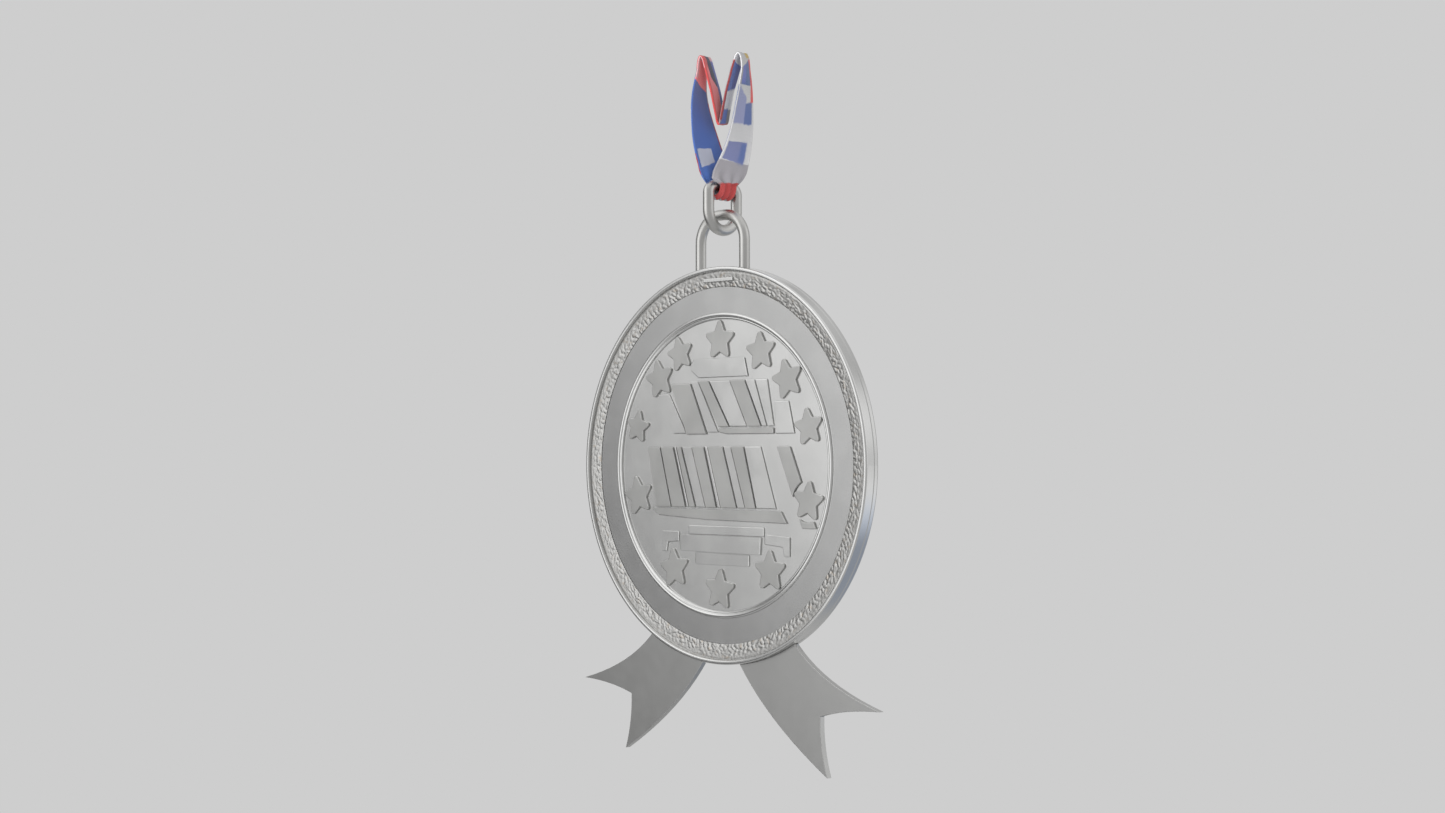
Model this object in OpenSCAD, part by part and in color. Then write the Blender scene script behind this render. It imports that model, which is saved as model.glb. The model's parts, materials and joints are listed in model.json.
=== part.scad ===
// A hanging award medal: a round two-shell disc with inlaid rings and raised
// ornaments, two swallow-tail ribbon tails, a wire bail, a link and a loop of ribbon.
//
// Frame: +Z up, the disc stands in the XZ plane and its face looks along -Y.
// The origin is where a peg carries the medal: under the dip of the ribbon loop.

/* [Disc] */
// Diameter of the medal disc
disc_d = 80; // [76:1:84]
// Thickness of the disc over both rims
disc_t = 3.7; // [3.5:0.1:4.5]
// Width of the raised lip around the front
lip_w = 0.9; // [0.8:0.1:1.2]

/* [Rings, as radii on an 80 mm disc] */
// Inner radius of the wreath ring
wreath_r = 35.9; // [35:0.1:36.5]
// Inner radius of the plain field ring
field_r = 30.75; // [30.5:0.05:31.5]
// Radius of the centre disc, inside the bezel
centre_r = 29.4; // [29.4:0.1:29.8]

/* [Ornaments] */
// Radius that the stars' points come out to
star_reach = 29.25; // [29:0.05:29.3]
// Size of the stars, as a share of their full size
star_size = 1; // [0.85:0.05:1]
// Height of the raised ornaments above the centre disc
ornament_h = 0.45; // [0.3:0.05:0.6]

/* [Bail and link] */
// Wire diameter of the bail
bail_wire_d = 2.2; // [1.8:0.1:2.4]
// Distance between the bail's legs, on their centrelines
bail_span = 12.5; // [11:0.5:14]
// Height of the bail's apex above the disc, on the wire's centreline
bail_h = 10.5; // [9.5:0.1:12]
// Wire diameter of the link
link_wire_d = 2.3; // [2:0.1:2.4]
// Width of the link, on its centreline
link_w = 7.9; // [7.8:0.1:9]
// Length of the link, on its centreline
link_l = 8.85; // [8.3:0.05:10]

/* [Ribbon] */
// Width of the flat ribbon
ribbon_w = 10; // [8:0.5:11]
// Thickness of the flat ribbon
ribbon_t = 0.35; // [0.3:0.05:0.5]
// Width of the ribbon where it is gathered inside the link
gathered_w = 4.6; // [4:0.1:4.7]
// Thickness of the gathered ribbon
gathered_t = 1; // [0.8:0.05:1]
// Turn of the loop about the vertical, from the link to the humps
twist = 35; // [0:1:45]

/* [Hidden] */
$fn = 96;
disc_r = disc_d / 2;
// Every plan size on the disc's face is given for an 80 mm disc and grows with it.
k = disc_d / 80;

// Heights in front of the disc's middle plane.
front_h = disc_t / 2;
back_h = -disc_t / 2;
floor_h = 0;
parting_h = -0.5;
wreath_h = 1.2;
field_out_h = 0.8;
field_in_h = 0.8;
bezel_h = 1.25;
centre_h = 0.53;

// The tails: flat plates with a thin tongue that the two shells clamp.
tail_front_h = 0.3;
tail_back_h = -0.9;
tongue_r = 36.5 * k;
tongue_from = 10;
tongue_to = 27;
fit_gap = 0.05;
ring_gap = 0.02;

// Locating pins between the shells, as angles from the lowest point of the disc.
pin_angles = [-24, -13, 13, 24, -158, 158];
pin_ring_r = 38.2 * k;
pin_r = 0.6;
pin_low_h = -1.4;
pin_high_h = -0.1;

bail_r = bail_wire_d / 2;
bail_apex_z = disc_r + bail_h;
bail_seat_z = disc_r - 1.2;
bail_flat = 1.6;
link_r = link_wire_d / 2;
link_corner_r = 1.6;
link_gap = 0.85;
link_low_z = bail_apex_z - bail_r - link_r - link_gap;
bar_z = link_low_z + link_l;

// Centreline of the ribbon loop, [sideways, above the link's bar], from the fold under
// the bar, up the right leg and over the right hump, down towards the dip.
RIBBON_RIGHT = [
    [0, -2.3], [1.35, -1.8], [1.95, -0.6], [2, 0.9], [2.05, 2.4], [2.6, 4], [3.25, 5.8], [3.9, 8.4],
    [4.3, 11], [4.5, 13.6], [4.65, 16.4], [4.8, 19.2], [4.85, 22], [4.78, 24.4], [4.5, 26.3], [4, 27],
    [3.45, 26.4], [2.8, 24.4], [2.2, 22.2], [1.45, 19.4], [0.95, 16.8], [0.5, 14.4], [0.32, 13.3]
];
// From the dip over the left hump, which is a little lower, and down the left leg.
RIBBON_LEFT = [
    [0, 12.7], [-0.32, 13.3], [-0.5, 14.4], [-0.95, 16.8], [-1.45, 19.4], [-2.2, 22.3], [-2.8, 24.5],
    [-3.25, 26], [-3.7, 26.5], [-4.08, 25.6], [-4.3, 23.9], [-4.6, 21.8], [-4.9, 19.2], [-4.85, 16.4],
    [-4.55, 13.6], [-4.15, 11], [-3.6, 8.4], [-2.9, 5.8], [-2.25, 3.9], [-1.9, 2.4], [-1.88, 0.9],
    [-1.9, -0.6], [-1.35, -1.8]
];
right_top = 15;
left_top = len(RIBBON_RIGHT) + 8;
// The gather opens out above this height, within these distances: the near edge of
// the right leg flares at once, and the other edges open slowly.
gather_low = 0.1;
quick_flare = 1.2;
slow_flare = 3.2;
// The legs have made their whole turn at this height. Between the humps the turn is even.
turned_at = 23.5;
// Rise of the loop from its near edge to its far edge, above these heights.
tilt = 0.17;
tilt_low = 2;
tilt_high = 12;
ring_steps = 3;

hang_z = bar_z + RIBBON_LEFT[0][1] - ribbon_t / 2;

// Stars: [angle clockwise from the top, turn of the star, radius of its points].
STARS = [
    [0, 0, 4.1], [27, 4, 4], [48, 14, 4.1], [73, 8, 3.8], [106, -6, 4], [146, 0, 4.2],
    [180, -4, 4.2], [-148, 6, 4.2], [-105, 12, 4.2], [-72, -10, 3.5], [-45, 12, 4.1], [-27, 14, 3.7]
];
STAR_NAMES = [for (i = [1 : len(STARS)]) str("star_", i < 10 ? "0" : "", i)];

// Raised bars: [top left, top right, bottom left, bottom right, top z, bottom z].
UPPER_BRIGHT = [
    [-18.2, -14.9, -13.5, -9.8, 14.6, 6.4],
    [-8.3, -6.4, -3.5, -0.6, 17, 6.6],
    [-3, 2.7, 2.9, 7.6, 17, 7.7],
    [7.3, 9.7, 11.9, 13.1, 17, 7.7],
    [10, 13.2, 13.4, 15, 17, 7.7],
    [15.3, 19, 15.5, 20.6, 12.6, 6.2]
];
UPPER_DARK = [
    [-14.4, -8.6, -9.5, -3.8, 16.6, 6.2],
    [-6.1, -3.3, -0.3, 2.6, 17, 7.7],
    [3, 7, 7.9, 11.6, 17, 7.7]
];
LOWER_BRIGHT = [
    [-13.4, -12.9, -9.7, -9.1, 3.7, -8.6],
    [-11, -8.3, -6.7, -4.2, 3.7, -8.6],
    [-4.4, -3.7, -0.7, 0.1, 3.7, -8.6],
    [1.1, 3, 5.1, 7.1, 3.7, -8.6],
    [7, 11.4, 10.4, 15.6, 3.7, -8.6]
];
LOWER_DARK = [
    [-21.2, -17.6, -18.6, -14.2, 3.7, -8.6],
    [-17.3, -13.7, -13.9, -10, 3.7, -8.6],
    [-12.6, -11.3, -8.8, -7, 3.7, -8.6],
    [-8, -4.7, -3.9, -1, 3.7, -8.6],
    [-3.4, 0.8, 0.4, 4.8, 3.7, -8.6],
    [3.3, 6.7, 7.4, 10.1, 3.7, -8.6],
    [16, 19.4, 22.8, 26.3, 3.7, -12.2]
];
// The star that interrupts the last of the lower bars.
bar_star = 4;

// Points of a circular arc in a profile.
function arc(centre, r, from, to, steps = 6) = [
    for (i = [0 : steps])
        let (a = from + (to - from) * i / steps)
        centre + r * [cos(a), sin(a)]
];

// Points of a curve from a to c that leans towards b, without its last point.
function bend(a, b, c, steps = 10) = [
    for (i = [0 : steps - 1])
        let (t = i / steps)
        (1 - t) * (1 - t) * a + 2 * t * (1 - t) * b + t * t * c
];

function smooth(t) = let (u = max(0, min(1, t))) u * u * (3 - 2 * u);

// Puts the disc's centre under the origin, with its drawing plane in XZ, so that
// a height in the drawing is a distance in front of the disc's middle plane.
module on_disc() {
    translate([0, 0, -hang_z]) rotate([90, 0, 0]) children();
}

// A flat raised piece on the centre disc.
module raised(from = centre_h, height = ornament_h) {
    on_disc() translate([0, 0, from]) linear_extrude(height) scale(k) children();
}

module socket_pair(r) {
    for (side = [-1, 1]) {
        translate([side * bail_span / 2, bail_seat_z, 0])
            rotate([-90, 0, 0]) cylinder(r = r, h = 4);
    }
}

module pins(r, low, high) {
    for (a = pin_angles) {
        translate([pin_ring_r * sin(a), -pin_ring_r * cos(a), low]) cylinder(r = r, h = high - low, $fn = 32);
    }
}

// The clamped tongue of one tail, in the drawing plane of the disc.
module tongue(gap = 0) {
    rotate_extrude(angle = tongue_to - tongue_from + gap * 2, start = tongue_from - 90 - gap)
        translate([tongue_r - gap, tail_back_h])
            square([disc_r - tongue_r + 0.5, parting_h - tail_back_h]);
}

module front_shell() {
    lip_r = disc_r - lip_w;
    color("silver") on_disc() difference() {
        rotate_extrude() polygon(concat(
            [[0, parting_h], [disc_r - 0.12, parting_h], [disc_r, parting_h + 0.12]],
            arc([disc_r - 0.4, front_h - 0.4], 0.4, 0, 90),
            arc([lip_r + 0.3, front_h - 0.3], 0.3, 90, 180),
            [[lip_r, floor_h], [0, floor_h]]
        ));
        socket_pair(bail_r);
        pins(pin_r, parting_h - 1, pin_high_h);
    }
}

module back_shell() {
    groove_r = 36.5 * k;
    color("silver") on_disc() difference() {
        rotate_extrude() polygon(concat(
            [[0, parting_h], [0, back_h]],
            [[groove_r - 0.4, back_h], [groove_r, back_h + 0.25], [groove_r + 0.4, back_h]],
            arc([disc_r - 0.5, back_h + 0.5], 0.5, -90, 0),
            [[disc_r, parting_h - 0.12], [disc_r - 0.12, parting_h]]
        ));
        socket_pair(bail_r);
        pins(pin_r, pin_low_h, parting_h + 1);
        tongue(fit_gap);
        mirror([1, 0, 0]) tongue(fit_gap);
    }
}

module locating_pins() {
    color("gray") on_disc() pins(pin_r, pin_low_h, pin_high_h);
}

module wreath_ring() {
    inner_r = wreath_r * k;
    outer_r = disc_r - lip_w;
    mid_r = (inner_r + outer_r) / 2;
    color("darkgray") on_disc() difference() {
        rotate_extrude() polygon([
            [inner_r, floor_h], [outer_r, floor_h], [outer_r, wreath_h],
            [mid_r + 0.8, wreath_h + 0.18], [mid_r, wreath_h + 0.12],
            [mid_r - 0.9, wreath_h - 0.05], [inner_r, field_out_h]
        ]);
        translate([0, 37.3 * k, 1]) linear_extrude(2) tie_outline();
    }
}

module tie_outline() {
    square([8.4, 0.8], center = true);
}

module wreath_tie() {
    color("silver") on_disc() translate([0, 37.3 * k, 1]) linear_extrude(0.45) tie_outline();
}

module field_ring() {
    outer_r = wreath_r * k - ring_gap;
    color("lightgray") on_disc() rotate_extrude() polygon([
        [field_r * k, floor_h], [outer_r, floor_h],
        [outer_r, field_out_h], [field_r * k, field_in_h]
    ]);
}

module bezel_ring() {
    outer_r = field_r * k;
    inner_r = centre_r * k;
    bead_r = (outer_r - inner_r) * 0.34;
    color("whitesmoke") on_disc() rotate_extrude() polygon(concat(
        [[inner_r, floor_h], [outer_r, floor_h]],
        arc([outer_r - bead_r, bezel_h - bead_r], bead_r, 0, 160, 8),
        arc([inner_r + 0.25, 0.7], 0.25, 60, 180, 4)
    ));
}

module centre_disc() {
    color("gainsboro") on_disc() cylinder(r = centre_r * k, h = centre_h, $fn = 192);
}

function point_r(place) = place[2] * star_size;

// Puts the middle of a star's drawing at its place on the circle of stars.
module at_star(place) {
    rotate(-place[0]) translate([0, star_reach - point_r(place)]) rotate(place[0] + place[1]) children();
}

// A five-pointed star with blunt points.
module star(place) {
    color("darkgray") raised() at_star(place)
        polygon([
            for (i = [0 : 4], p = [[0.95, -6], [1, 0], [0.95, 6], [0.56, 36]])
                let (a = 90 + 72 * i + p[1])
                point_r(place) * p[0] * [cos(a), sin(a)]
        ]);
}

// A group of slanted bars, one solid each.
module bars(list) {
    for (b = list) {
        polygon([[b[0], b[4]], [b[1], b[4]], [b[3], b[5]], [b[2], b[5]]]);
    }
}

module upper_cap_plate() {
    color("lightgray") raised(height = 0.28)
        polygon([[-8.3, 20.6], [-7.5, 21.5], [6.9, 21.5], [7.9, 17.7], [-6.2, 17.7], [-8.3, 19.2]]);
}

module upper_bright_bars() {
    color("gainsboro") raised(height = ornament_h - 0.15) bars(UPPER_BRIGHT);
}

module upper_dark_bars() {
    color("gray") raised() bars(UPPER_DARK);
}

module upper_base_strip() {
    color("gray") raised(height = ornament_h - 0.05)
        polygon([[-0.2, 7.4], [15, 7.4], [15, 6.2], [2, 6.2], [-0.2, 6.6]]);
}

module lower_bright_bars() {
    color("gainsboro") raised(height = ornament_h - 0.15) bars(LOWER_BRIGHT);
}

module lower_dark_bars() {
    color("gray") raised() difference() {
        bars(LOWER_DARK);
        at_star(STARS[bar_star]) circle(r = point_r(STARS[bar_star]) + 0.1, $fn = 40);
    }
}

module lower_rail() {
    color("gray") raised(height = ornament_h - 0.05)
        polygon([[-20.3, -8.9], [17, -9], [18.6, -11.4], [-4, -11.1], [-17.8, -10.4]]);
}

module scroll_plate() {
    color("lightgray") raised()
        polygon([[-11.6, -14.3], [11.6, -14.3], [11.3, -17.7], [-11.3, -17.5]]);
}

module scroll_back_strips() {
    color("silver") raised(height = ornament_h - 0.15) {
        polygon([[-9, -12.3], [12.3, -12.3], [12.3, -14.1], [-9, -14.1]]);
        polygon([[-7, -17.9], [8.2, -17.9], [8.2, -20.1], [-7, -20.1]]);
    }
}

// The turned-back ends of the scroll.
module scroll_folds() {
    color("silver") raised(height = ornament_h - 0.1) {
        polygon([[-16.8, -13.6], [-11.9, -13.6], [-11.9, -15.6], [-15.2, -15.9], [-15.6, -17.8], [-16.8, -17.8]]);
        polygon([[12.6, -13.6], [19.3, -14], [19.3, -17.8], [17.9, -17.8], [17.5, -16], [12.6, -15.6]]);
    }
}

// The right-hand swallow tail; the left one is its mirror image.
module tail() {
    outer_root = [20, -34.6];
    outer_tip = [41.9, -45.9];
    notch = [26.9, -48.1];
    lower_tip = [28.7, -59.7];
    inner_root = [5.1, -39.6];
    color("silver") on_disc() difference() {
        union() {
            difference() {
                translate([0, 0, tail_back_h]) linear_extrude(tail_front_h - tail_back_h) scale(k)
                    polygon(concat(
                        bend(outer_root, [27, -42], outer_tip),
                        bend(outer_tip, [33.2, -46.1], notch),
                        bend(notch, [26.7, -54], lower_tip),
                        bend(lower_tip, [12.8, -50.2], inner_root),
                        [inner_root, [4.9, -36], [17, -30]]
                    ));
                translate([0, 0, -3]) cylinder(r = disc_r, h = 6);
            }
            tongue();
        }
        pins(pin_r, pin_low_h, pin_high_h);
    }
}

module tail_right() {
    tail();
}

module tail_left() {
    mirror([1, 0, 0]) tail();
}

// An arch of wire whose legs are sunk in the rim, across the joint of the shells.
// Its top is straight for a little way, where it rides on the link.
module bail() {
    turn_x = bail_flat / 2;
    turn_r = bail_span / 2 - turn_x;
    spring_z = bail_apex_z - turn_r;
    color("silver") on_disc() {
        translate([-turn_x, bail_apex_z, 0]) rotate([0, 90, 0])
            cylinder(r = bail_r, h = bail_flat, $fn = 48);
        for (side = [0, 1]) {
            mirror([side, 0, 0]) {
                translate([turn_x, spring_z, 0]) rotate_extrude(angle = 90)
                    translate([turn_r, 0]) circle(r = bail_r, $fn = 48);
                translate([bail_span / 2, bail_seat_z, 0]) rotate([-90, 0, 0])
                    cylinder(r = bail_r, h = spring_z - bail_seat_z, $fn = 48);
            }
        }
    }
}

// A D-shaped wire link in the YZ plane: a straight bar above, a half circle below.
module link() {
    half_w = link_w / 2;
    turn_y = half_w - link_corner_r;
    turn_z = bar_z - link_corner_r;
    bend_z = link_low_z + half_w;
    color("silver") translate([0, 0, -hang_z]) rotate([90, 0, 90]) {
        translate([0, bend_z, 0]) rotate_extrude(angle = 180, start = 180)
            translate([half_w, 0]) circle(r = link_r, $fn = 48);
        for (side = [0, 1]) {
            mirror([side, 0, 0]) {
                translate([turn_y, turn_z, 0]) rotate_extrude(angle = 90)
                    translate([link_corner_r, 0]) circle(r = link_r, $fn = 48);
                translate([half_w, bend_z, 0]) rotate([-90, 0, 0])
                    cylinder(r = link_r, h = turn_z - bend_z, $fn = 48);
            }
        }
        translate([-turn_y, bar_z, 0]) rotate([0, 90, 0]) cylinder(r = link_r, h = 2 * turn_y, $fn = 48);
    }
}

ROUTE = concat(RIBBON_RIGHT, RIBBON_LEFT);

// A smooth closed curve through the route's points.
function on_route(s) =
    let (n = len(ROUTE), i = floor(s), t = s - i)
    let (a = ROUTE[(i + n - 1) % n], b = ROUTE[i % n], c = ROUTE[(i + 1) % n], d = ROUTE[(i + 2) % n])
    0.5 * (2 * b + (c - a) * t + (2 * a - 5 * b + 4 * c - d) * t * t + (3 * b - a - 3 * c + d) * t * t * t);

// How far an edge has come away from the gather, from 0 to 1.
function opened(z, reach) = sqrt(smooth((z - gather_low) / reach));
function ribbon_half_w(p, z, side) =
    (gathered_w + (ribbon_w - gathered_w) * opened(z, p > 0 && side < 0 ? quick_flare : slow_flare)) / 2;
function ribbon_half_t(z) = (gathered_t + (ribbon_t - gathered_t) * opened(z, slow_flare)) / 2;
function turn(s, z) = s >= right_top && s <= left_top ? twist : twist * max(0, min(1, z / turned_at));
function rise(z) = tilt * smooth((z - tilt_low) / (tilt_high - tilt_low));

// The four corners of the ribbon at one place on its route.
function ribbon_corners(s) =
    let (here = on_route(s), ahead = on_route(s + 0.02) - here)
    let (out = [ahead[1], -ahead[0]] / norm(ahead), a = turn(s, here[1]))
    [
        for (c = [[1, -1], [1, 1], [-1, 1], [-1, -1]])
            let (p = here + c[0] * ribbon_half_t(here[1]) * out)
            let (q = c[1] * ribbon_half_w(here[0], here[1], c[1]))
            [p[0] * cos(a) - q * sin(a), p[0] * sin(a) + q * cos(a), p[1] + q * rise(here[1])]
    ];

module ribbon() {
    count = len(ROUTE) * ring_steps;
    points = [for (i = [0 : count - 1]) each ribbon_corners(i / ring_steps)];
    faces = [
        for (i = [0 : count - 1], j = [0 : 3])
            let (a = 4 * i, b = 4 * ((i + 1) % count), m = (j + 1) % 4)
            each [[a + j, b + j, b + m], [a + j, b + m, a + m]]
    ];
    color("royalblue") translate([0, 0, bar_z - hang_z]) polyhedron(points, faces);
}

// The row of stitches that closes the loop, on the outside of the left leg.
module ribbon_stitches() {
    seam_at = len(ROUTE) - 6.6;
    here = on_route(seam_at);
    out_p = here[0] - ribbon_half_t(here[1]) - 0.1;
    color("white") translate([0, 0, bar_z - hang_z + here[1]]) rotate(turn(seam_at, here[1])) {
        for (row = [0, 1], i = [-3 : 3]) {
            translate([out_p - 0.14 * row, i * 1.3, row * 1.2]) rotate([0, -6, 0])
                cylinder(r = 0.13, h = 0.8, center = true, $fn = 16);
        }
    }
}

front_shell();
back_shell();
locating_pins();
wreath_ring();
wreath_tie();
field_ring();
bezel_ring();
centre_disc();
for (i = [0 : len(STARS) - 1]) star(STARS[i]);
upper_cap_plate();
upper_bright_bars();
upper_dark_bars();
upper_base_strip();
lower_bright_bars();
lower_dark_bars();
lower_rail();
scroll_plate();
scroll_back_strips();
scroll_folds();
tail_left();
tail_right();
bail();
link();
ribbon();
ribbon_stitches();
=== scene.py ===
"""The looks of the hanging award medal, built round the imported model.

Lengths are in millimetres and are scaled by MM where a mesh is made. Heights on
the ribbon are counted from the link's bar, as in the part's own source.
"""
import json
import math
import random

import bpy
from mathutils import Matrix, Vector, noise


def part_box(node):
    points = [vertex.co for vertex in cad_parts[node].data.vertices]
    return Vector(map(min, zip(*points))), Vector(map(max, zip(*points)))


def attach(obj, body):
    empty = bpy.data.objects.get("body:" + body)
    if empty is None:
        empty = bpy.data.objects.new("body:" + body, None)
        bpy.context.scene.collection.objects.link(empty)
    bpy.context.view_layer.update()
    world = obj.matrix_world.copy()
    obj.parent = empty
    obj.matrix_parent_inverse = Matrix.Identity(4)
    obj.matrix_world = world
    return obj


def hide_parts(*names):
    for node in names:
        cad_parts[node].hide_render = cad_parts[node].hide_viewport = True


MM = 0.001

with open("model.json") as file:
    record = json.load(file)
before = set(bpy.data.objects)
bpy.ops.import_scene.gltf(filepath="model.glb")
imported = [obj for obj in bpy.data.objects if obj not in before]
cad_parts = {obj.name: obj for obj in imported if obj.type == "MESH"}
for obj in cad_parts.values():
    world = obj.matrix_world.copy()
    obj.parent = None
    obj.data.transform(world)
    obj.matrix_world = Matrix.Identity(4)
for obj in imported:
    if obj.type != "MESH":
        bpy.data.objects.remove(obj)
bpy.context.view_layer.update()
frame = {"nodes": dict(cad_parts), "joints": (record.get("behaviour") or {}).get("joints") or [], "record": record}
record = frame["record"]
joints = {j["name"]: j for j in frame["joints"]}

disc_low, disc_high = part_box("back_shell")
disc_z = (disc_low.z + disc_high.z) / 2 / MM
bar_z = joints["link_swing"]["pos_m"][2] / MM


# ---------------------------------------------------------------- camera and light

# The camera looks at a point on the disc's vertical axis. Azimuth 0 is straight in front.
CAMERA_AZIMUTH = 45.25
CAMERA_ELEVATION = -1.38
CAMERA_DISTANCE = 404.9
CAMERA_LENS = 50
CAMERA_SENSOR = 36
AIM_ABOVE_DISC = 11.79

# What the camera sees behind the medal, and the strength of the room at its sides.
BACKGROUND = 0.617
SIDES = 0.40
# The room in front goes from dim at the lower left to bright at the upper right.
FRONT_DIM = 0.12
FRONT_BRIGHT = 1.14
# Patches that add to the room: azimuth and elevation of the middle, the cosines at which
# the patch begins and is full, and the strength that it adds.
ROOM_PATCHES = [
    (0, 90, 0.50, 0.95, 0.30),
    (122, 22, 0.86, 0.97, 0.40),
    (136, -14, 0.95, 0.995, 0.36),
    (155, -42, 0.85, 0.97, -0.06),
]
# The low side of the room is bluish, and shows in the lower right of the side wall.
BLUISH = (0.77, 0.85, 1.0, 1)

# Fills: name, azimuth, elevation, distance and size in metres, power in watts.
FILLS = [
    ("front_fill", 49, 2, 1.3, 0.7, 12.4),
    ("left_fill", 5, -15, 1.3, 0.9, 4.0),
    ("low_fill", 46, -30, 0.5, 0.3, 1.1),
]


def direction(azimuth, elevation):
    """The unit vector from the object towards that azimuth and elevation, in degrees."""
    a = math.radians(azimuth)
    e = math.radians(elevation)
    return Vector((math.sin(a) * math.cos(e), -math.cos(a) * math.cos(e), math.sin(e)))


def place_camera():
    data = bpy.data.cameras.new("camera")
    data.lens = CAMERA_LENS
    data.sensor_width = CAMERA_SENSOR
    data.clip_start = 0.01
    camera = bpy.data.objects.new("camera", data)
    bpy.context.scene.collection.objects.link(camera)
    aim = Vector((0, 0, (disc_z + AIM_ABOVE_DISC) * MM))
    towards = direction(CAMERA_AZIMUTH, CAMERA_ELEVATION)
    camera.location = aim + towards * CAMERA_DISTANCE * MM
    camera.rotation_euler = towards.to_track_quat("Z", "Y").to_euler()
    bpy.context.scene.camera = camera


def soft_fill(name, azimuth, elevation, distance, size, power):
    """A round soft light aimed at the disc. Reflections don't show it."""
    data = bpy.data.lights.new(name, "AREA")
    data.shape = "DISK"
    data.size = size
    data.energy = power
    lamp = bpy.data.objects.new(name, data)
    towards = direction(azimuth, elevation)
    lamp.location = Vector((0, 0, disc_z * MM)) + towards * distance
    lamp.rotation_euler = towards.to_track_quat("Z", "Y").to_euler()
    lamp.visible_glossy = False
    bpy.context.scene.collection.objects.link(lamp)


def studio():
    """A pale room: brighter to the front right and above, dimmer to the front left and below."""
    world = bpy.data.worlds.new("studio")
    bpy.context.scene.world = world
    world.use_nodes = True
    nodes = world.node_tree.nodes
    links = world.node_tree.links
    coords = nodes.new("ShaderNodeTexCoord")
    background = nodes["Background"]

    def lobe(towards, low, high, start, end):
        """A value that goes from start to end as a direction nears towards."""
        dot = nodes.new("ShaderNodeVectorMath")
        dot.operation = "DOT_PRODUCT"
        dot.inputs[1].default_value = towards
        links.new(coords.outputs["Generated"], dot.inputs[0])
        spread = nodes.new("ShaderNodeMapRange")
        spread.interpolation_type = "SMOOTHSTEP"
        spread.inputs["From Min"].default_value = low
        spread.inputs["From Max"].default_value = high
        spread.inputs["To Min"].default_value = start
        spread.inputs["To Max"].default_value = end
        links.new(dot.outputs["Value"], spread.inputs["Value"])
        return spread.outputs["Result"]

    def math_node(operation, a, b, c=0.0):
        made = nodes.new("ShaderNodeMath")
        made.operation = operation
        for socket, value in zip(made.inputs, (a, b, c)):
            if isinstance(value, bpy.types.NodeSocket):
                links.new(value, socket)
            else:
                socket.default_value = value
        return made.outputs[0]

    def between(amount, a, b):
        """a where amount is 0, b where it is 1."""
        return math_node("MULTIPLY_ADD", amount, math_node("SUBTRACT", b, a), a)

    in_front = lobe(direction(-45, 0), 0.50, 0.80, 0.0, 1.0)
    gradient = lobe(direction(50, 34), -0.22, 0.14, FRONT_DIM, FRONT_BRIGHT)
    room = between(in_front, SIDES, gradient)
    for azimuth, elevation, low, high, added in ROOM_PATCHES:
        patch = lobe(direction(azimuth, elevation), low, high, 0.0, added)
        room = math_node("ADD", room, patch)
    # The room behind the medal is even, and so is all that the camera sees directly.
    behind = lobe(direction(CAMERA_AZIMUTH + 180, -CAMERA_ELEVATION), 0.80, 0.92, 0.0, 1.0)
    room = between(behind, room, BACKGROUND)
    seen_directly = nodes.new("ShaderNodeLightPath").outputs["Is Camera Ray"]
    room = between(seen_directly, room, BACKGROUND)
    links.new(room, background.inputs["Strength"])

    tint = nodes.new("ShaderNodeMix")
    tint.data_type = "RGBA"
    tint.inputs[6].default_value = (1, 1, 1, 1)
    tint.inputs[7].default_value = BLUISH
    low_side = lobe(direction(150, -38), 0.86, 0.97, 0.0, 1.0)
    reflected = math_node("SUBTRACT", 1.0, seen_directly)
    links.new(math_node("MULTIPLY", low_side, reflected), tint.inputs["Factor"])
    links.new(tint.outputs[2], background.inputs["Color"])

    for fill in FILLS:
        soft_fill(*fill)
    bpy.context.scene.view_settings.view_transform = "Standard"


# ---------------------------------------------------------------- node helpers

class Shader:
    """One procedural material, with short ways to add nodes to it."""

    def __init__(self, name):
        self.material = bpy.data.materials.new(name)
        self.material.use_nodes = True
        self.tree = self.material.node_tree
        self.bsdf = self.tree.nodes["Principled BSDF"]

    def put(self, socket, value):
        if isinstance(value, bpy.types.NodeSocket):
            self.tree.links.new(value, socket)
        else:
            socket.default_value = value

    def node(self, kind, inputs=(), **settings):
        made = self.tree.nodes.new("ShaderNode" + kind)
        for name, value in settings.items():
            setattr(made, name, value)
        for name, value in dict(inputs).items():
            self.put(made.inputs[name], value)
        return made

    def math(self, operation, a, b=0.0, c=0.0):
        return self.node("Math", {0: a, 1: b, 2: c}, operation=operation).outputs[0]

    def ramp(self, value, low, high, out_low=0.0, out_high=1.0):
        """A smooth change from out_low to out_high as value goes from low to high."""
        inputs = {
            "Value": value,
            "From Min": low,
            "From Max": high,
            "To Min": out_low,
            "To Max": out_high,
        }
        return self.node("MapRange", inputs, interpolation_type="SMOOTHSTEP").outputs["Result"]

    def blend(self, amount, a, b):
        """Colour a where amount is 0, colour b where it is 1."""
        made = self.node("Mix", data_type="RGBA")
        self.put(made.inputs["Factor"], amount)
        for socket, value in ((made.inputs[6], a), (made.inputs[7], b)):
            self.put(socket, value if isinstance(value, bpy.types.NodeSocket) else (*value, 1.0))
        return made.outputs[2]

    def noise(self, scale, detail=3.0, vector=None, kind="3D"):
        made = self.node("TexNoise", {"Scale": scale, "Detail": detail}, noise_dimensions=kind)
        if vector is not None:
            self.put(made.inputs["W" if kind == "1D" else "Vector"], vector)
        return made.outputs["Fac"]

    def place(self):
        return self.node("TexCoord").outputs["Object"]

    def bump(self, height, distance, strength=1.0, under=None):
        inputs = {"Height": height, "Distance": distance, "Strength": strength}
        if under is not None:
            inputs["Normal"] = under
        return self.node("Bump", inputs).outputs["Normal"]

    def set(self, **values):
        for name, value in values.items():
            self.put(self.bsdf.inputs[name.replace("_", " ")], value)


# ---------------------------------------------------------------- floor

# In metres.
FLOOR_RADIUS = 4.5
FLOOR_HEIGHT = -1.1


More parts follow.
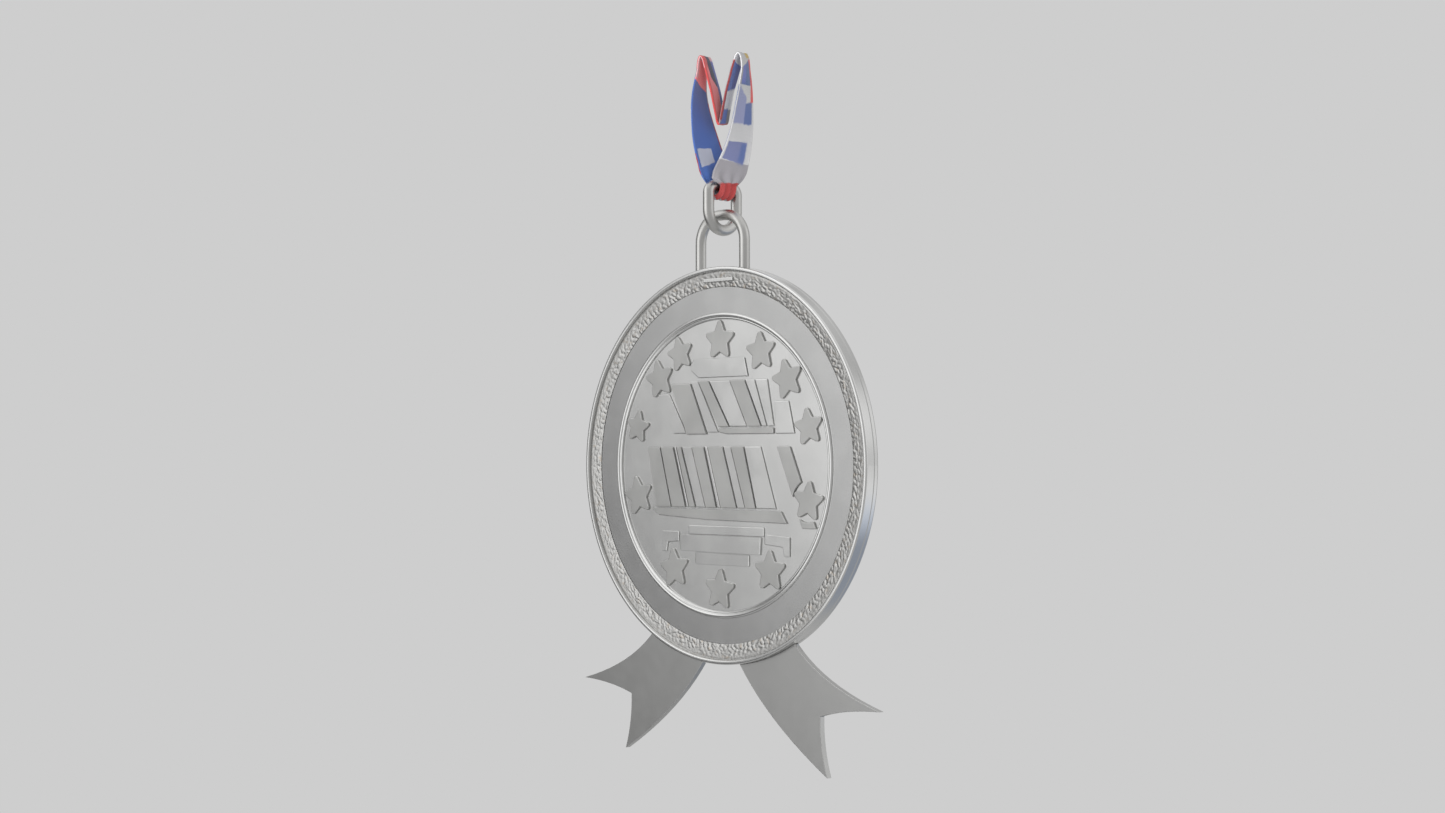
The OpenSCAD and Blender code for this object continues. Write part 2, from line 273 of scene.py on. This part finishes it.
def pale_floor():
    """A wide pale floor far below the hanging medal."""
    bpy.ops.mesh.primitive_circle_add(vertices=128, radius=FLOOR_RADIUS, fill_type="NGON")
    floor = bpy.context.object
    floor.name = "floor"
    floor.location = (0, 0, FLOOR_HEIGHT)
    s = Shader("floor")
    stains = s.noise(2.0, 4.0, s.place())
    s.set(Base_Color=s.blend(stains, (0.74, 0.74, 0.75), (0.80, 0.80, 0.80)))
    s.set(Roughness=0.7, Normal=s.bump(s.noise(60.0, 4.0, s.place()), 0.0006))
    floor.data.materials.append(s.material)
    floor.visible_glossy = False


# ---------------------------------------------------------------- metals

def from_disc_axis(shader):
    """Distance from the disc's axis, in metres."""
    to_axis = (0, 0, -disc_z * MM)
    centred = shader.node("VectorMath", {0: shader.place(), 1: to_axis}, operation="ADD")
    flat = shader.node("VectorMath", {0: centred.outputs[0], 1: (1, 0, 1)}, operation="MULTIPLY")
    return shader.node("VectorMath", {0: flat.outputs[0]}, operation="LENGTH").outputs["Value"]


# Warm flecks on the wreath.
TARNISH = (0.62, 0.55, 0.47)
# Patina and painted shade: the plate is darker in its creases and close to other parts. How far out of a crease,
# in mm, and how dark there.
PATINA_AND_SHADE_REACH = 0.35
PATINA_AND_SHADE = 0.66


def metal(name, tone, rough, turned=0.0, grain=0.0, cloud=0.05, tarnish=None):
    """Silver plate, uneven in tone by cloud, with flecks of tarnish where that is given,
    and darker in its creases as patina and painted shade.

    turned is the depth of the lathe marks and grain that of a blasted skin, in mm.
    """
    s = Shader(name)
    cloudy = s.noise(120, 4.0, s.place())
    dark = tuple(c * (1 - cloud * 2) for c in tone)
    colour = s.blend(s.ramp(cloudy, 0.35, 0.65), dark, tone)
    if tarnish:
        flecks = s.ramp(s.noise(900, 3.0, s.place()), 0.56, 0.70, 0.0, 0.7)
        colour = s.blend(flecks, colour, tarnish)
    # Patina and painted shade: the colour is darkened where the plate is hemmed in by its own relief or by other
    # parts close by.
    openness = s.node("AmbientOcclusion", {"Distance": PATINA_AND_SHADE_REACH * MM}, samples=8).outputs["AO"]
    colour = s.blend(s.ramp(openness, 0.35, 0.9), tuple(c * PATINA_AND_SHADE for c in tone), colour)
    s.set(Base_Color=colour, Metallic=1.0)
    s.set(Roughness=s.ramp(s.noise(400, 4.0, s.place()), 0.3, 0.7, rough * 0.95, rough * 1.05))
    normal = None
    if turned:
        rings = s.noise(9000, 2.0, from_disc_axis(s), "1D")
        normal = s.bump(rings, turned * MM)
    if grain:
        normal = s.bump(s.noise(6000, 2.0, s.place()), grain * MM, 1.0, normal)
    if normal is not None:
        s.set(Normal=normal)
    return s.material


# Each metal's colour, roughness and finish.
METALS = {
    "polished_silver": ((0.88, 0.88, 0.87), 0.20, {"turned": 0.004, "cloud": 0.015}),
    "mirror_silver": ((0.93, 0.93, 0.92), 0.24, {"turned": 0.002, "cloud": 0.03}),
    "brushed_silver": ((0.70, 0.70, 0.695), 0.24, {"turned": 0.004, "cloud": 0.03}),
    "satin_silver": ((0.66, 0.66, 0.65), 0.30, {"grain": 0.0004, "cloud": 0.012}),
    "leaf_silver": (
        (0.69, 0.685, 0.67), 0.40, {"grain": 0.001, "cloud": 0.02, "tarnish": TARNISH},
    ),
    "bright_relief": ((0.93, 0.93, 0.92), 0.22, {"grain": 0.006}),
    "matte_relief": ((0.71, 0.71, 0.695), 0.38, {"grain": 0.008}),
    "polished_wire": ((0.76, 0.755, 0.735), 0.34, {"grain": 0.003, "cloud": 0.04}),
    "pin_steel": ((0.5, 0.5, 0.5), 0.35, {"grain": 0.005}),
}


def metals():
    made = {}
    for name, (tone, rough, finish) in METALS.items():
        made[name] = metal(name, tone, rough, **finish)
    return made


# ---------------------------------------------------------------- mesh helpers

def new_mesh(name, points, faces, material):
    """A smooth-shaded object from points in millimetres."""
    mesh = bpy.data.meshes.new(name)
    mesh.from_pydata([Vector(p) * MM for p in points], [], faces)
    mesh.polygons.foreach_set("use_smooth", [True] * len(mesh.polygons))
    mesh.materials.append(material)
    mesh.update()
    made = bpy.data.objects.new(name, mesh)
    bpy.context.scene.collection.objects.link(made)
    return made


def smooth_step(t):
    """From 0 to 1 with level ends, and held at them outside."""
    t = max(0.0, min(1.0, t))
    return t * t * (3 - 2 * t)


# ---------------------------------------------------------------- ribbon

RIBBON_WIDTH = 10.0
RIBBON_THICKNESS = 0.30
# Its width where it is gathered in the link, and how high above the bar the gather ends:
# at once along the front edge of the right leg, and slowly elsewhere.
GATHERED_WIDTH = 4.6
OPENS_AT_ONCE = 1.2
OPENS_SLOWLY = 3.2
PLEATS = 3
PLEAT_DEPTH = 0.38
PLEATS_END = 4.5
# Away from the gather the cloth is a little wavy.
RIPPLE = 0.10
# The legs turn about the vertical as they rise from the bar, by TWIST degrees from this
# height on. The dip between the humps is turned by all of it.
TWIST = 35.0
TURNED_AT = 23.5
# How much each mm across the ribbon rises.
TILT = 0.17
# How wide the rounded edges are, and where the thick selvedge lies and how wide it is, as
# shares of half the width. Then how much thicker the selvedge is on each face, and the
# share of the thickness that is left at the very edge.
ROUNDED = 0.05
SELVEDGE_AT = 0.93
SELVEDGE_WIDTH = 0.04
SELVEDGE = 0.05
THINNEST = 0.15
# The closed route in the plane of the loop: sideways, and up from the link's bar. It is
# the same as in the part's source.
RIBBON_RIGHT = [
    (0, -2.3), (1.35, -1.8), (1.95, -0.6), (2, 0.9), (2.05, 2.4), (2.6, 4), (3.25, 5.8),
    (3.9, 8.4), (4.3, 11), (4.5, 13.6), (4.65, 16.4), (4.8, 19.2), (4.85, 22), (4.78, 24.4),
    (4.5, 26.3), (4, 27), (3.45, 26.4), (2.8, 24.4), (2.2, 22.2), (1.45, 19.4), (0.95, 16.8),
    (0.5, 14.4), (0.32, 13.3),
]
RIBBON_LEFT = [
    (0, 12.7), (-0.32, 13.3), (-0.5, 14.4), (-0.95, 16.8), (-1.45, 19.4), (-2.2, 22.3),
    (-2.8, 24.5), (-3.25, 26), (-3.7, 26.5), (-4.08, 25.6), (-4.3, 23.9), (-4.6, 21.8),
    (-4.9, 19.2), (-4.85, 16.4), (-4.55, 13.6), (-4.15, 11), (-3.6, 8.4), (-2.9, 5.8),
    (-2.25, 3.9), (-1.9, 2.4), (-1.88, 0.9), (-1.9, -0.6), (-1.35, -1.8),
]
ROUTE = [Vector(p) for p in RIBBON_RIGHT + RIBBON_LEFT]
# The tops of the two humps, counted in points of the route.
RIGHT_TOP = 15
LEFT_TOP = len(RIBBON_RIGHT) + 8
RINGS_PER_POINT = 10
# Points across each face. They are closer together towards the edges.
COLUMNS = 48
CROWDING = 0.92


def on_route(s):
    """The point s of the closed route, on a Catmull-Rom curve through its points."""
    n = len(ROUTE)
    i = math.floor(s)
    t = s - i
    a, b, c, d = (ROUTE[(i + k) % n] for k in (-1, 0, 1, 2))
    square = 2 * a - 5 * b + 4 * c - d
    cube = 3 * b - a - 3 * c + d
    return 0.5 * (2 * b + (c - a) * t + square * t**2 + cube * t**3)


def opened(z, reach):
    """How far the cloth has come away from the gather at that height, from 0 to 1."""
    return math.sqrt(smooth_step((z - 0.1) / reach))


def route_stations():
    """s and distance along the loop for every ring, and the whole length."""
    count = len(ROUTE) * RINGS_PER_POINT
    values = [i / RINGS_PER_POINT for i in range(count + 1)]
    lengths = [0.0]
    for a, b in zip(values, values[1:]):
        lengths.append(lengths[-1] + (on_route(b) - on_route(a)).length)
    return values[:-1], lengths[:-1], lengths[-1]


def edge_profile(u):
    """How full the ribbon's thickness is at u across it, and the selvedge's extra thickness."""
    beyond = max(0.0, (abs(u) - (1 - ROUNDED)) / ROUNDED)
    fullness = math.sqrt(max(0.0, 1 - beyond ** 2))
    selvedge = SELVEDGE * smooth_step(1 - abs(abs(u) - SELVEDGE_AT) / SELVEDGE_WIDTH)
    return max(fullness, THINNEST), selvedge


def ribbon_section(s, u, face):
    """One point of the ribbon: u across it from -1 to 1, face -1 inside or 1 outside."""
    here = on_route(s)
    ahead = on_route(s + 0.02) - here
    out = Vector((ahead.y, -ahead.x)).normalized()
    z = here.y
    at_once = here.x > 0 and u < 0
    edge_open = opened(z, OPENS_AT_ONCE if at_once else OPENS_SLOWLY)
    q = u * (GATHERED_WIDTH + (RIBBON_WIDTH - GATHERED_WIDTH) * edge_open) / 2
    gathered = (1 - opened(z, PLEATS_END)) ** 1.2
    pleat = PLEAT_DEPTH * gathered * math.cos(math.pi * PLEATS * u + 0.4)
    ripple = RIPPLE * (1 - gathered) * math.sin(2.3 * u + 0.35 * z) * (1 - 0.5 * abs(u))
    fullness, selvedge = edge_profile(u)
    p = here + out * (pleat + ripple + face * (RIBBON_THICKNESS / 2 + selvedge) * fullness)
    inner = RIGHT_TOP <= s % len(ROUTE) <= LEFT_TOP
    turn = math.radians(TWIST * (1 if inner else max(0.0, min(1.0, z / TURNED_AT))))
    rise = q * TILT * smooth_step((z - 2) / 10)
    return Vector((
        p.x * math.cos(turn) - q * math.sin(turn),
        p.x * math.sin(turn) + q * math.cos(turn),
        p.y + rise + bar_z,
    ))


def ribbon_columns():
    """The places across the ribbon, from -1 to 1."""
    quarter_turn = math.pi / 2
    edge = math.sin(quarter_turn * CROWDING)
    even = [2 * j / (COLUMNS - 1) - 1 for j in range(COLUMNS)]
    return [math.sin(quarter_turn * e * CROWDING) / edge for e in even]


def make_ribbon(material):
    """The ribbon as one closed tube of cloth, laid out flat in its UV map."""
    stations, along, length = route_stations()
    across = ribbon_columns()
    loop = [(u, 1) for u in across] + [(u, -1) for u in reversed(across)]
    points = [ribbon_section(s, u, face) for s in stations for u, face in loop]
    rings = len(stations)
    size = len(loop)
    faces = []
    spots = []
    for i in range(rings):
        following = (i + 1) % rings
        s0 = along[i]
        s1 = along[following] if following else length
        for j in range(size):
            k = (j + 1) % size
            corners = (i * size + j, following * size + j, following * size + k, i * size + k)
            faces.append(corners)
            spots += [(loop[j][0], s0), (loop[j][0], s1), (loop[k][0], s1), (loop[k][0], s0)]
    piece = new_mesh("ribbon_cloth", points, faces, material)
    uv = piece.data.uv_layers.new(name="cloth")
    uv.data.foreach_set("uv", [x for u, s in spots for x in (u * RIBBON_WIDTH / 2 * MM, s * MM)])
    outside = piece.data.attributes.new("outside", "FLOAT", "FACE")
    one_ring = [1.0 if j < COLUMNS - 1 else 0.0 for j in range(size)]
    outside.data.foreach_set("value", one_ring * rings)
    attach(piece, "ribbon_loop")
    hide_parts("ribbon")


BLUE = (0.085, 0.165, 0.46)
BRIGHT_BLUE = (0.060, 0.150, 0.56)
WORN_BLUE = (0.095, 0.138, 0.32)
DARK_BLUE = (0.060, 0.110, 0.29)
DEEP_BLUE = (0.105, 0.130, 0.42)
NAVY = (0.020, 0.021, 0.070)
LILAC = (0.25, 0.27, 0.44)
DULL_LILAC = (0.165, 0.185, 0.34)
RED = (0.66, 0.085, 0.085)
# Painted shade: the red of the gathered fold in the link, painted darker than RED for the shade that falls there.
FOLD_RED_PAINTED_SHADE = (0.31, 0.045, 0.045)
DARK_RED = (0.36, 0.055, 0.06)
PINK = (0.72, 0.42, 0.44)
# A paler red: partly the cloth's own pinker red, and partly painted light where the red cloth lies in shade.
PALE_RED_PAINTED_LIGHT = (0.98, 0.25, 0.27)
WHITE = (0.50, 0.50, 0.51)
# Painted light: the white cloth on the inner face near and under the right hump, painted brighter than WHITE where
# it lies in shade; the second white is brighter still.
WHITE_PAINTED_LIGHT = (0.80, 0.80, 0.81)
WHITE_MORE_PAINTED_LIGHT = (0.97, 0.96, 0.96)
GREY = (0.28, 0.27, 0.29)
PALE_BLUE = (0.50, 0.53, 0.62)
GOLD = (0.55, 0.38, 0.08)

# Blocks of colour on each face of the ribbon, painted in this order: mostly the ribbon's
# print, with painted shade in the fold and painted light on some whites and reds. Each has
# its colour, where it starts and ends along the loop and across it (all in mm), how much
# later it starts and ends for each mm across, and how soft its edges are.
OUTER_BLOCKS = [
    # Painted shade: the gathered fold is painted a darker red.
    (FOLD_RED_PAINTED_SHADE, -4.0, 4.1, -6.0, 6.0, 0.0, 0.0, 0.2),
    (GREY, 4.0, 8.6, -6.0, 6.0, 0.05, -0.05, 0.2),
    (WHITE, 8.4, 24.4, -6.0, 6.0, -0.05, 0.0, 0.1),
    (DULL_LILAC, 8.4, 12.5, -4.3, 2.9, -0.11, -0.07, 0.1),
    (WORN_BLUE, 8.4, 12.4, 0.8, 2.9, -0.11, -0.07, 0.7),
    (LILAC, 16.2, 22.0, -4.6, 0.8, -0.07, -0.5, 0.3),
    (WORN_BLUE, 16.1, 20.3, 0.6, 4.0, -0.07, 0.1, 0.25),
    (DARK_BLUE, 24.2, 28.7, -4.0, 6.0, -0.05, 0.25, 0.12),
    (DEEP_BLUE, 24.6, 28.9, -4.0, -1.0, 0.0, 0.2, 0.5),
    (RED, 20.5, 29.6, 3.2, 6.0, 0.0, 0.0, 0.15),
    (WHITE, 28.8, 34.0, -6.0, 6.0, 0.2, 0.0, 0.15),
    (GOLD, 29.8, 31.4, 0.5, 4.5, 0.0, 0.0, 0.2),
    (RED, 45.4, 63.0, -6.0, 6.0, 0.0, 0.0, 0.15),
    # Paler red: partly the cloth's pinker red, and partly painted light where the cloth lies in shade.
    (PALE_RED_PAINTED_LIGHT, 46.4, 56.5, -3.6, 2.4, 0.0, -0.5, 0.6),
    (DEEP_BLUE, 50.0, 60.0, 2.3, 6.0, 0.0, 0.0, 0.2),
    (NAVY, 54.8, 61.2, -2.0, 2.6, -0.55, 0.1, 0.2),
    (PINK, 59.4, 65.0, 2.4, 6.0, 0.0, 0.0, 0.3),
    (WORN_BLUE, 63.0, 71.5, -6.0, 6.0, -0.25, 0.1, 0.15),
    (WHITE, 71.5, 75.6, -6.0, 6.0, 0.1, 0.05, 0.15),
    (DULL_LILAC, 75.6, 82.4, -4.3, 6.0, 0.05, -0.08, 0.15),
    (WORN_BLUE, 75.6, 82.4, 0.6, 4.4, 0.05, -0.08, 0.6),
    (WHITE, 82.4, 84.4, -6.0, 6.0, -0.08, 0.0, 0.15),
]
INNER_BLOCKS = [
    # Painted shade: the gathered fold is painted a darker red.
    (FOLD_RED_PAINTED_SHADE, -4.0, 3.2, -6.0, 6.0, 0.0, 0.0, 0.2),
    (DULL_LILAC, 8.6, 15.6, -6.0, 4.3, -0.1, 0.1, 0.2),
    (WORN_BLUE, 17.8, 23.4, -6.0, 6.0, 0.1, -0.2, 0.15),
    # Painted light: the white here is painted brighter because the inner face lies in shade under the hump.
    (WHITE_PAINTED_LIGHT, 23.4, 43.0, -6.0, 6.0, -0.2, 0.0, 0.2),
    (GOLD, 30.0, 31.8, 1.0, 5.5, 0.0, 0.0, 0.3),
    (BRIGHT_BLUE, 33.4, 38.9, -6.0, 6.0, 0.12, -0.08, 0.12),
    # Painted light: a brighter white still, where the inner face lies in shade.
    (WHITE_MORE_PAINTED_LIGHT, 39.1, 42.9, -6.0, 6.0, -0.08, 0.0, 0.12),
    (DEEP_BLUE, 33.6, 38.9, 1.0, 6.0, 0.12, -0.08, 0.6),
    (BRIGHT_BLUE, 42.8, 46.2, -4.0, 1.0, 0.0, 0.0, 0.3),
    (DARK_RED, 32.6, 45.0, -6.0, -3.5, 0.0, 0.0, 0.2),
    (RED, 45.8, 66.6, -6.0, 6.0, 0.0, 0.28, 0.15),
    # Paler red inside the left hump: painted light, standing for light coming through the cloth into the shaded
    # hollow.
    (PALE_RED_PAINTED_LIGHT, 58.0, 66.6, -5.0, 6.0, 0.0, 0.28, 0.15),
    (PINK, 58.0, 64.8, -6.0, -3.2, 0.0, 0.0, 0.3),
    (BLUE, 66.5, 88.0, -6.0, 6.0, 0.28, 0.0, 0.12),
    (PALE_BLUE, 79.3, 82.4, -4.1, 0.9, 0.0, -0.34, 0.12),
    (GREY, 65.4, 70.0, 4.3, 6.0, 0.0, 0.0, 0.2),
    (DARK_RED, 70.0, 79.6, 4.4, 6.0, 0.0, 0.0, 0.15),
    (DARK_RED, 80.5, 85.5, -6.0, -4.9, 0.0, 0.0, 0.1),
]


# The pitch of the weave, in metres.
WARP_PITCH = 0.00034
WEFT_PITCH = 0.00026


def ribbon_material():
    """Woven cloth with blocks of colour on it, a set for each face: mostly print, with some painted shade and
    painted light.
    """
    s = Shader("ribbon_fabric")
    uv = s.node("UVMap", uv_map="cloth").outputs["UV"]
    parts = s.node("SeparateXYZ", {"Vector": uv})
    wander = s.math("MULTIPLY_ADD", s.noise(900, 2.0, uv), 0.00045, -0.00022)
    across = s.math("ADD", parts.outputs["X"], wander)
    along = s.math("ADD", parts.outputs["Y"], wander)

    def block_mask(start, end, left, right, start_slant, end_slant, soft):
        limits = (
            (s.math("MULTIPLY_ADD", across, -start_slant, along), start, 0, 1),
            (s.math("MULTIPLY_ADD", across, -end_slant, along), end, 1, 0),
            (across, left, 0, 1),
            (across, right, 1, 0),
        )
        mask = 1.0
        for value, edge, below, above in limits:
            low, high = (edge - soft) * MM, (edge + soft) * MM
            mask = s.math("MULTIPLY", mask, s.ramp(value, low, high, below, above))
        return mask

    def painted(blocks):
        colour = GREY
        for paint, *limits in blocks:
            colour = s.blend(block_mask(*limits), colour, paint)
        return colour

    side = s.node("Attribute", attribute_name="outside").outputs["Fac"]
    colour = s.blend(side, painted(INNER_BLOCKS), painted(OUTER_BLOCKS))

    warp = s.math("SINE", s.math("MULTIPLY", parts.outputs["X"], 2 * math.pi / WARP_PITCH))
    weft = s.math("SINE", s.math("MULTIPLY", parts.outputs["Y"], 2 * math.pi / WEFT_PITCH))
    weave = s.math("MULTIPLY_ADD", s.math("MULTIPLY", warp, weft), 0.5, 0.5)
    fibre = s.noise(5200, 3.0, uv)
    woven_shade = s.ramp(weave, 0, 1, 0.82, 1.06)
    shade = s.math("MULTIPLY", woven_shade, s.ramp(fibre, 0.3, 0.7, 0.86, 1.10))
    s.set(Base_Color=s.node("VectorMath", {0: colour, 3: shade}, operation="SCALE").outputs[0])
    s.set(Roughness=0.78, Sheen_Weight=0.12, Sheen_Roughness=0.4)
    height = s.math("ADD", s.math("MULTIPLY", weave, 0.7), s.math("MULTIPLY", fibre, 0.5))
    s.set(Normal=s.bump(height, 0.00005, 0.8))
    return s.material


# ---------------------------------------------------------------- stitches

# The seam is on the left leg. Its place, the gap between its two rows and the length of a
# stitch are counted along the route in points.
SEAM_AT = len(ROUTE) - 6.6
STITCH_ROWS = 2
ROW_GAP = 0.55
STITCH_LENGTH = 0.34
# Stitches either side of the middle one, and their pitch and slant in half widths.
STITCHES_ASIDE = 3
STITCH_PITCH = 0.26
STITCH_SLANT = 0.05
THREAD_RADIUS = 0.11
# How high the thread arches above the cloth, and how deep its ends lie in it.
STITCH_ARCH = 0.16
STITCH_DEPTH = 0.05
THREAD_SIDES = 8
THREAD_STEPS = 10


def thread_material():
    s = Shader("sewing_thread")
    wave = {"Scale": 1800.0, "Distortion": 1.0, "Vector": s.place()}
    twist = s.node("TexWave", wave).outputs["Fac"]
    s.set(Base_Color=s.blend(twist, (0.62, 0.62, 0.60), (0.82, 0.82, 0.80)), Roughness=0.7)
    s.set(Normal=s.bump(twist, 0.00003, 0.6))
    return s.material


def thread_ring(row, place, t):
    """The points round the thread at t, from 0 to 1, along one stitch."""
    s = SEAM_AT - row * ROW_GAP + (t - 0.5) * STITCH_LENGTH
    u = place * STITCH_PITCH + (t - 0.5) * STITCH_SLANT
    top = ribbon_section(s, u, 1)
    out = (top - ribbon_section(s, u, -1)).normalized()
    ahead = (ribbon_section(s + 0.05, u, 1) - top).normalized()
    aside = out.cross(ahead)
    centre = top + out * (math.sin(math.pi * t) * STITCH_ARCH - STITCH_DEPTH)
    ring = []
    for j in range(THREAD_SIDES):
        a = 2 * math.pi * j / THREAD_SIDES
        ring.append(centre + (aside * math.cos(a) + out * math.sin(a)) * THREAD_RADIUS)
    return ring


def thread_faces(start):
    """The faces of one stitch whose points begin at start."""
    faces = []
    for k in range(THREAD_STEPS):
        a = start + k * THREAD_SIDES
        b = a + THREAD_SIDES
        for j in range(THREAD_SIDES):
            m = (j + 1) % THREAD_SIDES
            faces.append((a + j, a + m, b + m, b + j))
    last = start + THREAD_STEPS * THREAD_SIDES
    faces.append(tuple(start + j for j in reversed(range(THREAD_SIDES))))
    faces.append(tuple(last + j for j in range(THREAD_SIDES)))
    return faces


def make_stitches(material):
    """Rows of short stitches, each a little arch of thread on the outside of the left leg."""
    points = []
    faces = []
    for row in range(STITCH_ROWS):
        for place in range(-STITCHES_ASIDE, STITCHES_ASIDE + 1):
            faces += thread_faces(len(points))
            for k in range(THREAD_STEPS + 1):
                points += thread_ring(row, place, k / THREAD_STEPS)
    piece = new_mesh("ribbon_stitching", points, faces, material)
    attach(piece, "ribbon_loop")
    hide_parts("ribbon_stitches")


# ---------------------------------------------------------------- wreath

WREATH_IN = 35.9
WREATH_OUT = 39.1
# How far the ring's surface stands in front of the disc's middle plane: at its inner
# edge, how much more it stands out up to the shoulder, and how much it falls after it.
WREATH_FOOT = 0.88
WREATH_SWELL = 0.34
WREATH_FALL = 0.3
SHOULDER = 0.85
# Rows of leaves: radius, how many, and the share of the full relief.
LEAF_ROWS = [(36.3, 205, 1.0), (36.85, 198, 1.0), (37.4, 192, 0.8), (38.0, 186, 0.35)]
# The ring's mesh, and how many sectors its leaves are sorted into.
WREATH_TURNS = 2160
WREATH_BANDS = 30
SECTORS = 270


def scatter_leaves():
    """Each leaf's radius, angle, length, width, tilt and height."""
    random.seed(7)
    leaves = []
    for row, (row_radius, count, relief) in enumerate(LEAF_ROWS):
        lean = 0.55 if row == 0 else 0.15
        for i in range(count):
            stagger = 0.5 * (row % 2)
            angle = 2 * math.pi * (i + stagger + random.uniform(-0.25, 0.25)) / count
            radius = row_radius + random.uniform(-0.18, 0.18)
            length = random.uniform(0.50, 0.90)
            width = random.uniform(0.26, 0.44)
            tilt = random.uniform(-0.9, 0.9) + lean * (1 if math.sin(angle) > 0 else -1)
            tall = random.uniform(0.055, 0.125) * relief
            leaves.append((radius, angle, length, width, tilt, tall))
    return leaves


def sector_of(angle):
    return int(angle / (2 * math.pi) * SECTORS) % SECTORS


def sort_leaves(leaves):
    """The leaves that may reach into each sector of the ring."""
    sectors = [[] for _ in range(SECTORS)]
    for leaf in leaves:
        for d in (-1, 0, 1):
            sectors[(sector_of(leaf[1]) + d) % SECTORS].append(leaf)
    return sectors


def leaf_height(leaf, radius, angle):
    """How far a leaf stands up at that place, or 0 beside it."""
    r0, a0, length, width, tilt, tall = leaf
    away = (angle - a0 + math.pi) % (2 * math.pi) - math.pi
    x = away * r0
    y = radius - r0
    c = math.cos(tilt)
    s = math.sin(tilt)
    d = ((x * c + y * s) / length) ** 2 + ((y * c - x * s) / width) ** 2
    return tall * math.sqrt(1 - d) if d < 1 else 0.0


def wreath_height(sectors, radius, angle):
    share = (radius - WREATH_IN) / (WREATH_OUT - WREATH_IN)
    swell = WREATH_SWELL * min(share, SHOULDER)
    base = WREATH_FOOT + swell - WREATH_FALL * max(0.0, share - SHOULDER)
    best = 0.0
    for leaf in sectors[sector_of(angle)]:
        best = max(best, leaf_height(leaf, radius, angle))
    place = Vector((radius * 3, math.sin(angle) * 60, math.cos(angle) * 60))
    return base + best + noise.noise(place) * 0.03


def make_wreath(material):
    """A ring of small overlapping leaves, struck in low relief."""
    sectors = sort_leaves(scatter_leaves())
    points = []
    faces = []
    for i in range(WREATH_TURNS):
        angle = 2 * math.pi * i / WREATH_TURNS
        for j in range(WREATH_BANDS + 1):
            radius = WREATH_IN + (WREATH_OUT - WREATH_IN) * j / WREATH_BANDS
            h = wreath_height(sectors, radius, angle) if j else WREATH_FOOT
            points.append((radius * math.sin(angle), -h, disc_z + radius * math.cos(angle)))
    for i in range(WREATH_TURNS):
        here = i * (WREATH_BANDS + 1)
        following = (i + 1) % WREATH_TURNS * (WREATH_BANDS + 1)
        for j in range(WREATH_BANDS):
            a = here + j
            b = following + j
            faces.append((a, a + 1, b + 1, b))
    piece = new_mesh("wreath_leaves", points, faces, material)
    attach(piece, "medal")
    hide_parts("wreath_ring")


# ---------------------------------------------------------------- carried-over parts

# How wide the edges are softened, by the start of a piece's name. Other pieces have their
# edges in the CAD.
BEVELS = {
    "star_": 0.14,
    "upper_": 0.14,
    "lower_": 0.14,
    "scroll_": 0.12,
    "tail_": 0.07,
    "wreath_tie": 0.15,
}


def bevel_width(name):
    for start, width in BEVELS.items():
        if name.startswith(start):
            return width
    return 0


def soften_edges(part, width):
    weld = part.modifiers.new("weld", "WELD")
    weld.merge_threshold = 1e-6
    bevel = part.modifiers.new("soft_edges", "BEVEL")
    bevel.width = width * MM
    bevel.segments = 3
    bevel.limit_method = "ANGLE"
    bevel.angle_limit = math.radians(35)
    bevel.harden_normals = True


def finish_cad_parts(materials):
    """Gives the metal pieces their materials and softens the edges of the flat ones."""
    for row in record["subparts"]:
        part = frame["nodes"][row["node"]]
        if row["material_slot"] in materials:
            part.material_slots[0].material = materials[row["material_slot"]]
        width = bevel_width(row["node"])
        if width:
            soften_edges(part, width)


place_camera()
studio()
pale_floor()
silver = metals()
make_ribbon(ribbon_material())
make_stitches(thread_material())
make_wreath(silver["leaf_silver"])
finish_cad_parts(silver)
